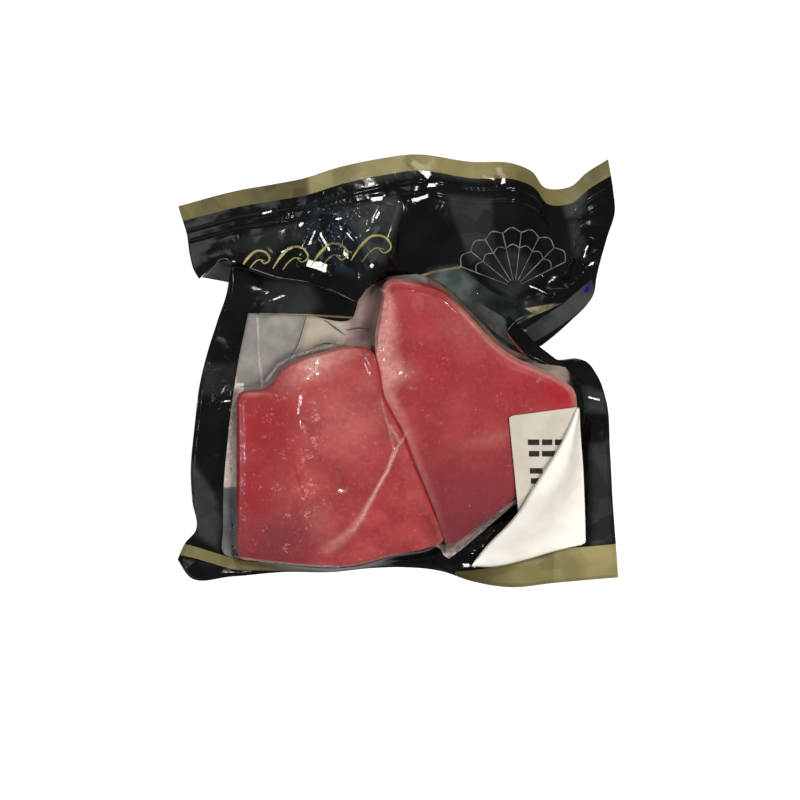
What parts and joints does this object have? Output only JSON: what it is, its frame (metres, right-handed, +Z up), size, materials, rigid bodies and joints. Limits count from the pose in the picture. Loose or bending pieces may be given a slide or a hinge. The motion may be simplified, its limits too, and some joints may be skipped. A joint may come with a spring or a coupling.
{
  "type": "vacuum packed tuna loin portions",
  "caption": "Black and gold vacuum pouch with a clear window over two raw tuna loin portions, lying window side up with its zip header folded forwards.",
  "frame": {"origin": "middle of the pack's footprint, on the surface it lies on", "axes": "+X to the pack's right, +Y towards its zip header, +Z up from the surface, out of the window side"},
  "size_m": [0.2211, 0.2175, 0.0273],
  "materials": {
    "film": "gloss",
    "tuna": "satin",
    "label": "matte"
  },
  "bodies": {
    "root": {"pouch": "film", "tuna_left": "tuna", "tuna_right": "tuna", "label": "label"}
  },
  "joints": []
}
